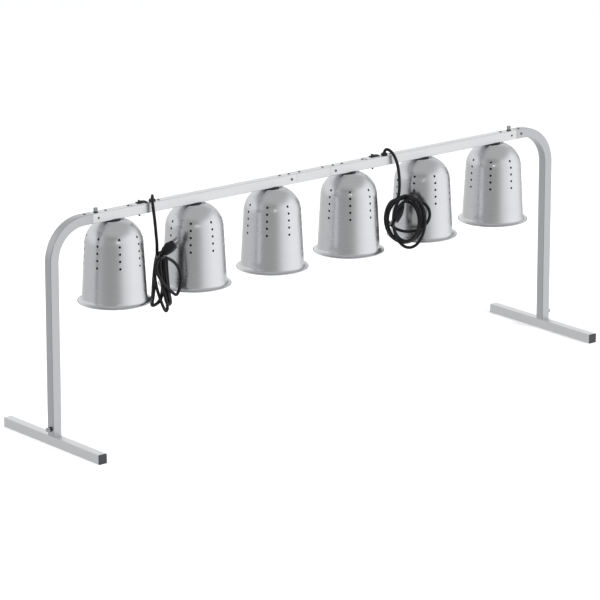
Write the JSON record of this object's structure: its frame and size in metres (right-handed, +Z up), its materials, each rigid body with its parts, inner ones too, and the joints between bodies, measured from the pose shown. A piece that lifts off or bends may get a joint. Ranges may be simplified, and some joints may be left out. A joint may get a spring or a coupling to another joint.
{
  "type": "heat lamp warmer",
  "caption": "Free-standing bridge of square tube on two cross feet, with a row of domed lamp shades under its bar, rocker switches and hanging mains cords.",
  "frame": {"origin": "on the floor, midway between the two feet and under the middle of the bar", "axes": "+X along the lamp bar to the user's right, +Y away from the serving side along the feet, +Z up"},
  "size_m": [1.7264, 0.4064, 0.6091],
  "materials": {
    "foot_aluminium": "satin, drawn lengthwise",
    "leg_aluminium": "satin, drawn lengthwise",
    "bar_aluminium": "satin, drawn lengthwise",
    "machined_aluminium": "machined",
    "spun_aluminium": "spun, satin",
    "nickelled_steel": "knurled, nickel plated",
    "zinc_steel": "zinc plated",
    "black_steel": "black oxide",
    "black_washer": "matte",
    "plate_steel": "bright satin",
    "switch_black": "moulded, semi-gloss",
    "rocker_black": "moulded, semi-gloss",
    "bushing_black": "moulded",
    "cord_black": "smooth jacket",
    "plug_black": "moulded",
    "cap_grey": "moulded",
    "porcelain": "glazed",
    "bulb_glass": "frosted face, silvered side",
    "bulb_brass": "bright",
    "wire_sleeve": "woven sleeve"
  },
  "bodies": {
    "stand": {"left_foot_tube": "foot_aluminium", "left_foot_spigot": "machined_aluminium", "left_leg_tube": "leg_aluminium", "left_leg_insert": "machined_aluminium", "left_strip_housing": "bar_aluminium", "left_switch_body": "switch_black", "left_strain_relief": "bushing_black", "left_cord": "cord_black", "left_plug": "plug_black", "right_foot_tube": "foot_aluminium", "right_foot_spigot": "machined_aluminium", "right_leg_tube": "leg_aluminium", "right_leg_insert": "machined_aluminium", "right_strip_housing": "bar_aluminium", "right_switch_body": "switch_black", "right_strain_relief": "bushing_black", "right_cord": "cord_black", "right_plug": "plug_black", "left_cord_hank": "cord_black", "right_cord_coil": "cord_black", "foot_end_caps": "cap_grey", "foot_spigot_bolts": "zinc_steel", "centre_connector": "bar_aluminium", "centre_joiner": "machined_aluminium", "joint_screws": "black_steel", "bar_drain_plugs": "bushing_black", "switch_plates": "plate_steel", "lamp_shade_1": "spun_aluminium", "lamp_socket_1": "porcelain", "heat_bulb_1": "bulb_glass", "lamp_shade_2": "spun_aluminium", "lamp_socket_2": "porcelain", "heat_bulb_2": "bulb_glass", "lamp_shade_3": "spun_aluminium", "lamp_socket_3": "porcelain", "heat_bulb_3": "bulb_glass", "lamp_shade_4": "spun_aluminium", "lamp_socket_4": "porcelain", "heat_bulb_4": "bulb_glass", "lamp_shade_5": "spun_aluminium", "lamp_socket_5": "porcelain", "heat_bulb_5": "bulb_glass", "lamp_shade_6": "spun_aluminium", "lamp_socket_6": "porcelain", "heat_bulb_6": "bulb_glass", "heat_bulb_bases": "bulb_brass", "lamp_nipples": "zinc_steel", "lamp_spacers": "black_washer", "lamp_lock_nuts": "zinc_steel", "strip_wiring": "wire_sleeve"},
    "left_foot_thumbscrew": {"left_foot_thumbscrew": "nickelled_steel"},
    "left_foot_washer": {"left_foot_washer": "black_washer"},
    "left_bar_thumbscrew": {"left_bar_thumbscrew": "nickelled_steel"},
    "left_bar_washer": {"left_bar_washer": "black_washer"},
    "left_switch_rocker": {"left_switch_rocker": "rocker_black"},
    "right_foot_thumbscrew": {"right_foot_thumbscrew": "nickelled_steel"},
    "right_foot_washer": {"right_foot_washer": "black_washer"},
    "right_bar_thumbscrew": {"right_bar_thumbscrew": "nickelled_steel"},
    "right_bar_washer": {"right_bar_washer": "black_washer"},
    "right_switch_rocker": {"right_switch_rocker": "rocker_black"}
  },
  "joints": [
    {"name": "left_rocker_tip", "type": "hinge", "parent": "stand", "child": "left_switch_rocker", "pos_m": [-0.55635, 0, 0.5835], "axis": [0, -1, 0], "range_deg": [0, 24]},
    {"name": "left_foot_screw_travel", "type": "slide", "parent": "stand", "child": "left_foot_washer", "axis": [-1, 0, 0], "range_m": [0, 0.00508]},
    {"name": "left_foot_screw_turn", "type": "hinge", "parent": "left_foot_washer", "child": "left_foot_thumbscrew", "pos_m": [-0.8509, 0, 0.044], "axis": [-1, 0, 0], "range_deg": [0, 1440]},
    {"name": "left_bar_screw_travel", "type": "slide", "parent": "stand", "child": "left_bar_washer", "axis": [0, 0, 1], "range_m": [0, 0.00508]},
    {"name": "left_bar_screw_turn", "type": "hinge", "parent": "left_bar_washer", "child": "left_bar_thumbscrew", "pos_m": [-0.70005, 0, 0.5842], "axis": [0, 0, 1], "range_deg": [0, 1440]},
    {"name": "right_rocker_tip", "type": "hinge", "parent": "stand", "child": "right_switch_rocker", "pos_m": [0.21835, 0, 0.5835], "axis": [0, -1, 0], "range_deg": [0, 24]},
    {"name": "right_foot_screw_travel", "type": "slide", "parent": "stand", "child": "right_foot_washer", "axis": [1, 0, 0], "range_m": [0, 0.00508]},
    {"name": "right_foot_screw_turn", "type": "hinge", "parent": "right_foot_washer", "child": "right_foot_thumbscrew", "pos_m": [0.8509, 0, 0.044], "axis": [1, 0, 0], "range_deg": [0, 1440]},
    {"name": "right_bar_screw_travel", "type": "slide", "parent": "stand", "child": "right_bar_washer", "axis": [0, 0, 1], "range_m": [0, 0.00508]},
    {"name": "right_bar_screw_turn", "type": "hinge", "parent": "right_bar_washer", "child": "right_bar_thumbscrew", "pos_m": [0.70005, 0, 0.5842], "axis": [0, 0, 1], "range_deg": [0, 1440]}
  ],
  "couplings": [
    {"joint": "left_foot_screw_turn", "follows": "left_foot_screw_travel", "rad_per_m": 4947.4},
    {"joint": "left_bar_screw_turn", "follows": "left_bar_screw_travel", "rad_per_m": 4947.4},
    {"joint": "right_foot_screw_turn", "follows": "right_foot_screw_travel", "rad_per_m": 4947.4},
    {"joint": "right_bar_screw_turn", "follows": "right_bar_screw_travel", "rad_per_m": 4947.4}
  ]
}
